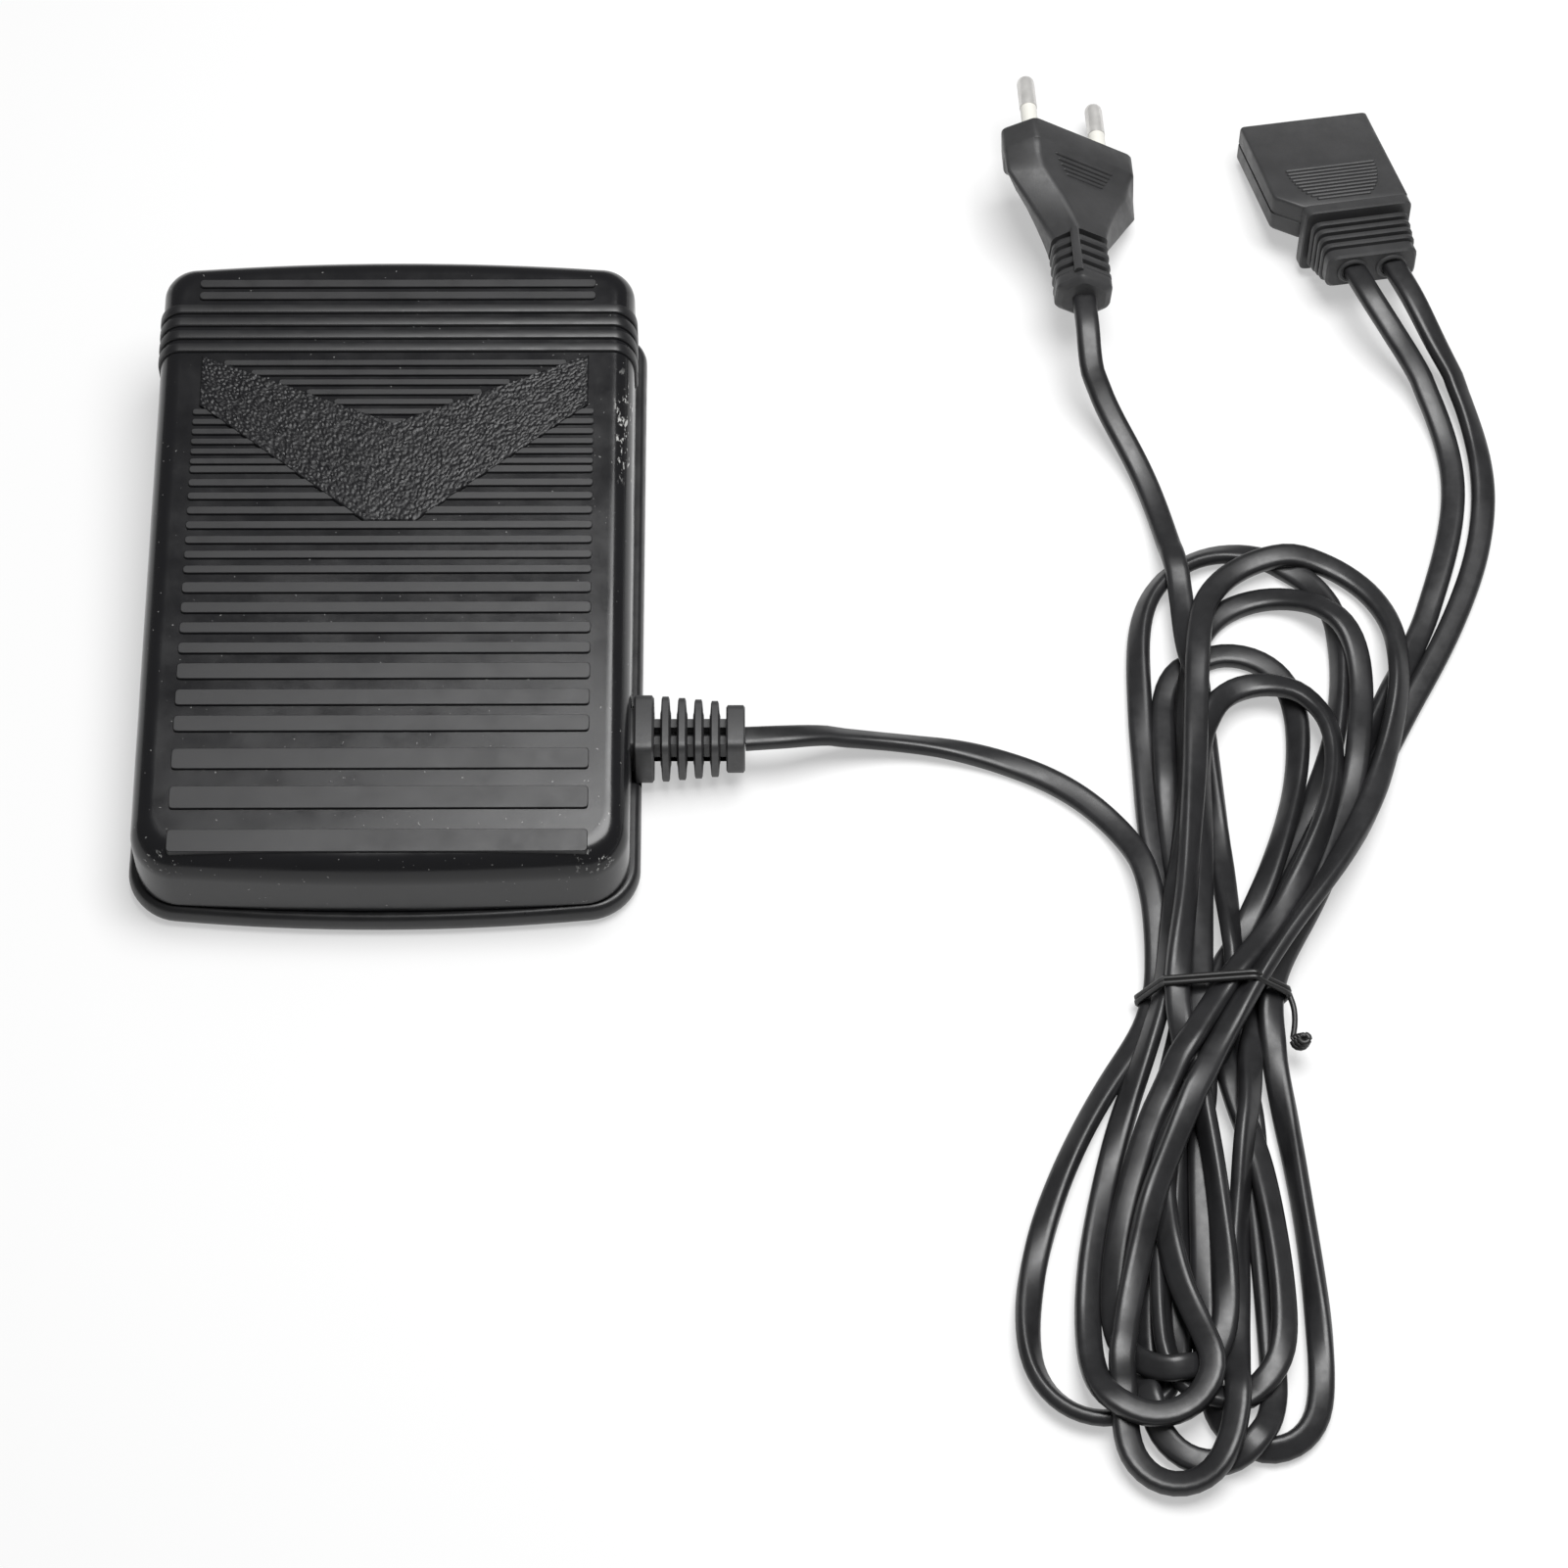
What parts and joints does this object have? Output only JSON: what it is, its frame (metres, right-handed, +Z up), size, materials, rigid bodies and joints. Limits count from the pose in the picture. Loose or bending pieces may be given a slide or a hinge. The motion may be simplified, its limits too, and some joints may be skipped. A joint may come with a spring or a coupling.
{
  "type": "sewing machine foot pedal",
  "caption": "Low foot pedal with a hinged ribbed treadle on a base tray, two flat cords tied in a hank, a flat two-pin mains plug and a three-socket machine connector.",
  "frame": {"origin": "centre of the pedal's footprint, on the floor under the rubber feet; the cords and what is on them are left out of the centre", "axes": "+Z up, +Y from the heel end to the toe end of the treadle, +X to the side where the cord leaves"},
  "size_m": [0.2902, 0.3412, 0.0362],
  "materials": {
    "satin_black_plastic": "satin moulded black plastic",
    "gloss_black_plastic": "glossy black plastic with matt bars and a leather grain field",
    "rubber_black": "matt black rubber",
    "rubber_grey": "matt dark grey rubber",
    "steel": "zinc plated steel",
    "board_green": "green solder mask",
    "board_brown": "brown phenolic board",
    "white_plastic": "off-white acetal",
    "brass": "bright brass",
    "aluminium": "plain aluminium",
    "component_black": "moulded epoxy",
    "ferrite_grey": "grey ferrite",
    "copper_wire": "enamelled copper",
    "film_yellow": "yellow capacitor case",
    "resistor_tan": "tan lacquer",
    "trimmer_blue": "blue moulded plastic",
    "fuse_glass": "clear glass tube",
    "terminal_green": "green moulded plastic",
    "cord_black": "satin black flexible PVC",
    "lead_blue": "PVC wire insulation",
    "pvc_dark_grey": "matt dark grey moulded PVC",
    "tie_black": "thin black plastic-coated wire",
    "nickel_pin": "nickel plated brass",
    "sleeve_white": "off-white insulating sleeve"
  },
  "bodies": {
    "base": {"base_tray": "satin_black_plastic", "rubber_feet": "rubber_black", "bump_stops": "rubber_grey", "hinge_pins": "steel", "return_springs": "steel", "inner_lid": "satin_black_plastic", "lid_screws": "steel", "main_board": "board_green", "board_screws": "steel", "track_board": "board_brown", "plunger_spring": "steel", "heat_sink": "aluminium", "triac": "component_black", "triac_screw": "steel", "choke_core": "ferrite_grey", "choke_winding": "copper_wire", "capacitor": "film_yellow", "resistors": "resistor_tan", "speed_trimmer": "trimmer_blue", "fuse": "fuse_glass", "fuse_clips": "brass", "terminal_block": "terminal_green", "cord_clamp": "satin_black_plastic", "clamp_screws": "steel", "inner_cord": "cord_black", "lead_wires": "lead_blue", "strain_relief": "pvc_dark_grey", "pedal_cord": "cord_black", "pedal_cord_end": "cord_black", "mains_cord": "cord_black", "mains_cord_end": "cord_black", "cord_hank": "cord_black", "bundle_tie": "tie_black", "plug_body": "pvc_dark_grey", "plug_pins": "nickel_pin", "pin_sleeves": "sleeve_white", "connector_shell": "pvc_dark_grey", "connector_relief": "pvc_dark_grey", "connector_contacts": "brass"},
    "treadle": {"treadle_cover": "gloss_black_plastic"},
    "plunger": {"plunger": "white_plastic", "wiper": "brass"}
  },
  "joints": [
    {"name": "treadle_hinge", "type": "hinge", "parent": "base", "child": "treadle", "pos_m": [0, -0.064, 0.0095], "axis": [-1, 0, 0], "range_deg": [0, 4.5], "stiffness_Nm_per_rad": 8, "springref_deg": -1.72, "deforming": ["return_springs"]},
    {"name": "plunger_slide", "type": "slide", "parent": "base", "child": "plunger", "axis": [0, 0, -1], "range_m": [0, 0.0052], "deforming": ["plunger_spring"]}
  ],
  "couplings": [
    {"joint": "plunger_slide", "follows": "treadle_hinge", "m_per_rad": 0.066}
  ]
}
